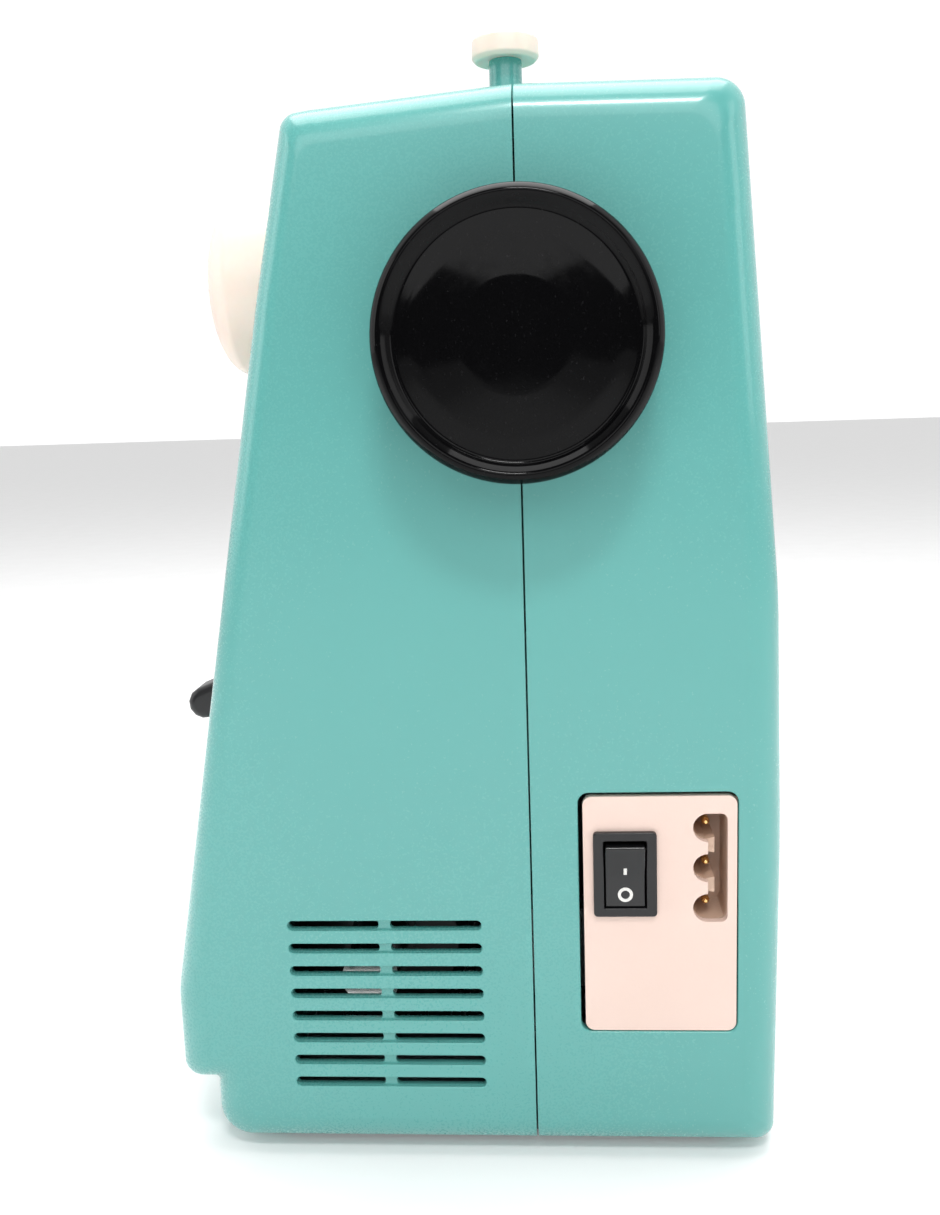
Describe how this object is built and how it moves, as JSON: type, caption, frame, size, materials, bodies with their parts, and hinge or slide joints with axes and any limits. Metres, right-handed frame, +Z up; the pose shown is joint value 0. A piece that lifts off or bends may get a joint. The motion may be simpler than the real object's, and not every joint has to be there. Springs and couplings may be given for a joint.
{
  "type": "sewing machine",
  "caption": "Compact free-arm sewing machine with two-part casing, end handwheel, stitch dial, reverse lever, socket panel with rocker switch, and full drive line inside.",
  "frame": {"origin": "bottom of the feet, under the middle of the whole machine", "axes": "+X along the machine towards the handwheel, +Y to the rear, +Z up; the operator sits at -Y"},
  "size_m": [0.33, 0.1558, 0.2717],
  "materials": {
    "case_teal": "glossy moulded plastic",
    "panel_cream": "fine satin moulded plastic",
    "knob_white": "smooth moulded plastic",
    "trim_black": "high gloss black plastic",
    "base_grey": "textured plastic",
    "cast_metal": "bead blasted casting",
    "steel": "ground and plated steel",
    "bronze": "sintered bronze",
    "pin_brass": "bright brass",
    "rubber": "matte rubber",
    "clear": "clear moulded plastic"
  },
  "bodies": {
    "casing": {"front_cover": "case_teal", "rear_cover": "case_teal", "free_arm_cover": "case_teal", "stop_post": "case_teal", "socket_plate": "panel_cream", "inlet_block": "panel_cream", "switch_body": "trim_black", "bobbin_case": "trim_black", "motor": "trim_black", "base_plate": "base_grey", "frame_casting": "cast_metal", "motor_bracket": "cast_metal", "presser_spring": "steel", "needle_plate": "steel", "shaft_bush_left": "bronze", "shaft_bush_right": "bronze", "inlet_pin_1": "pin_brass", "inlet_pin_2": "pin_brass", "inlet_pin_3": "pin_brass", "rubber_foot_1": "rubber", "rubber_foot_2": "rubber", "rubber_foot_3": "rubber", "rubber_foot_4": "rubber", "timing_belt": "rubber", "motor_belt": "rubber", "lamp_lens": "clear"},
    "face_cover": {"face_cover": "case_teal"},
    "main_shaft": {"main_shaft": "steel", "handwheel": "trim_black", "wheel_pulley": "cast_metal", "upper_timing_pulley": "trim_black", "crank_disc": "steel"},
    "lower_shaft": {"lower_shaft": "steel", "lower_timing_pulley": "trim_black", "lower_gear": "base_grey"},
    "hook": {"rotary_hook": "steel", "hook_gear": "steel"},
    "motor_rotor": {"motor_pulley": "steel"},
    "needle_link": {"needle_link": "steel"},
    "needle_bar": {"needle_bar": "steel", "needle_clamp": "steel", "needle": "steel"},
    "take_up_lever": {"take_up_lever": "steel"},
    "presser_bar": {"presser_bar": "steel", "presser_foot": "steel"},
    "presser_lifter": {"presser_lifter": "trim_black"},
    "tension_dial": {"tension_dial": "knob_white"},
    "stitch_dial": {"stitch_dial": "knob_white", "pattern_cam": "knob_white"},
    "reverse_lever": {"reverse_lever": "trim_black"},
    "winder_carrier": {"winder_carrier": "base_grey"},
    "winder_spindle": {"winder_spindle": "steel"},
    "winder_stop": {"winder_stop": "knob_white"},
    "spool_pin": {"spool_pin": "knob_white"},
    "carry_handle": {"carry_handle": "case_teal"},
    "switch_rocker": {"switch_rocker": "trim_black"},
    "feed_dog": {"feed_dog": "steel"},
    "bobbin": {"bobbin": "clear"},
    "bobbin_cover": {"bobbin_cover": "clear"},
    "extension_table": {"extension_table": "case_teal"}
  },
  "joints": [
    {"name": "handwheel_turn", "type": "hinge", "parent": "casing", "child": "main_shaft", "pos_m": [0.145, 0.01775, 0.1998], "axis": [1, 0, 0], "continuous": true},
    {"name": "lower_shaft_turn", "type": "hinge", "parent": "casing", "child": "lower_shaft", "pos_m": [-0.015, 0.01775, 0.036], "axis": [1, 0, 0], "continuous": true},
    {"name": "motor_turn", "type": "hinge", "parent": "casing", "child": "motor_rotor", "pos_m": [0.125, -0.02425, 0.042], "axis": [1, 0, 0], "continuous": true},
    {"name": "hook_turn", "type": "hinge", "parent": "casing", "child": "hook", "pos_m": [-0.129, 0.00175, 0.052], "axis": [0, 0, 1], "continuous": true},
    {"name": "needle_link_swing", "type": "hinge", "parent": "main_shaft", "child": "needle_link", "pos_m": [-0.1225, 0.01775, 0.2143], "axis": [1, 0, 0], "continuous": true},
    {"name": "needle_bar_stroke", "type": "slide", "parent": "casing", "child": "needle_bar", "axis": [0, 0, 1], "range_m": [-0.029, 0]},
    {"name": "take_up_swing", "type": "hinge", "parent": "casing", "child": "take_up_lever", "pos_m": [-0.138, -0.00225, 0.207], "axis": [1, 0, 0], "range_deg": [0, 50]},
    {"name": "presser_lifter_turn", "type": "hinge", "parent": "casing", "child": "presser_lifter", "pos_m": [-0.105, 0.04625, 0.126], "axis": [0, 1, 0], "range_deg": [0, 40]},
    {"name": "presser_bar_lift", "type": "slide", "parent": "casing", "child": "presser_bar", "axis": [0, 0, 1], "range_m": [0, 0.0065], "deforming": ["presser_spring"]},
    {"name": "tension_dial_turn", "type": "hinge", "parent": "casing", "child": "tension_dial", "pos_m": [-0.111, -0.04225, 0.194], "axis": [0, -1, 0], "range_deg": [-150, 150]},
    {"name": "stitch_dial_turn", "type": "hinge", "parent": "casing", "child": "stitch_dial", "pos_m": [0.095, -0.04225, 0.218], "axis": [0, -1, 0], "range_deg": [-150, 150]},
    {"name": "reverse_lever_press", "type": "hinge", "parent": "casing", "child": "reverse_lever", "pos_m": [0.093, -0.04425, 0.118], "axis": [1, 0, 0], "range_deg": [0, 15], "stiffness_Nm_per_rad": 0.6, "springref_deg": -2.86},
    {"name": "winder_engage", "type": "slide", "parent": "casing", "child": "winder_carrier", "axis": [1, 0, 0], "range_m": [0, 0.005]},
    {"name": "winder_spin", "type": "hinge", "parent": "winder_carrier", "child": "winder_spindle", "pos_m": [0.083, 0.00475, 0.252], "axis": [0, 0, 1], "continuous": true},
    {"name": "winder_stop_turn", "type": "hinge", "parent": "casing", "child": "winder_stop", "pos_m": [0.115, 0.01565, 0.267], "axis": [0, 0, 1], "range_deg": [-90, 90]},
    {"name": "spool_pin_raise", "type": "slide", "parent": "casing", "child": "spool_pin", "axis": [0, 0, 1], "range_m": [0, 0.055]},
    {"name": "carry_handle_fold", "type": "hinge", "parent": "casing", "child": "carry_handle", "pos_m": [-0.025, 0.02575, 0.261], "axis": [1, 0, 0], "range_deg": [0, 90]},
    {"name": "rocker_press", "type": "hinge", "parent": "casing", "child": "switch_rocker", "pos_m": [0.1425, 0.04005, 0.0748], "axis": [0, 1, 0], "range_deg": [-14, 0]},
    {"name": "feed_stroke", "type": "slide", "parent": "casing", "child": "feed_dog", "axis": [0, 1, 0], "range_m": [-0.002, 0.002]},
    {"name": "bobbin_spin", "type": "hinge", "parent": "casing", "child": "bobbin", "pos_m": [-0.129, 0.00175, 0.056], "axis": [0, 0, 1], "continuous": true},
    {"name": "bobbin_cover_open", "type": "hinge", "parent": "casing", "child": "bobbin_cover", "pos_m": [-0.129, -0.01625, 0.0699], "axis": [1, 0, 0], "range_deg": [0, 80]},
    {"name": "face_cover_open", "type": "hinge", "parent": "casing", "child": "face_cover", "pos_m": [-0.1453, 0.07835, 0.182], "axis": [0, 0, -1], "range_deg": [0, 80]},
    {"name": "extension_table_pull", "type": "slide", "parent": "casing", "child": "extension_table", "axis": [-1, 0, 0], "range_m": [0, 0.12]}
  ],
  "couplings": [
    {"joint": "lower_shaft_turn", "follows": "handwheel_turn", "ratio": 1},
    {"joint": "motor_turn", "follows": "handwheel_turn", "ratio": 3.6667},
    {"joint": "hook_turn", "follows": "handwheel_turn", "ratio": 2},
    {"joint": "needle_link_swing", "follows": "handwheel_turn", "ratio": -1},
    {"joint": "presser_lifter_turn", "follows": "presser_bar_lift", "rad_per_m": 107.4}
  ]
}
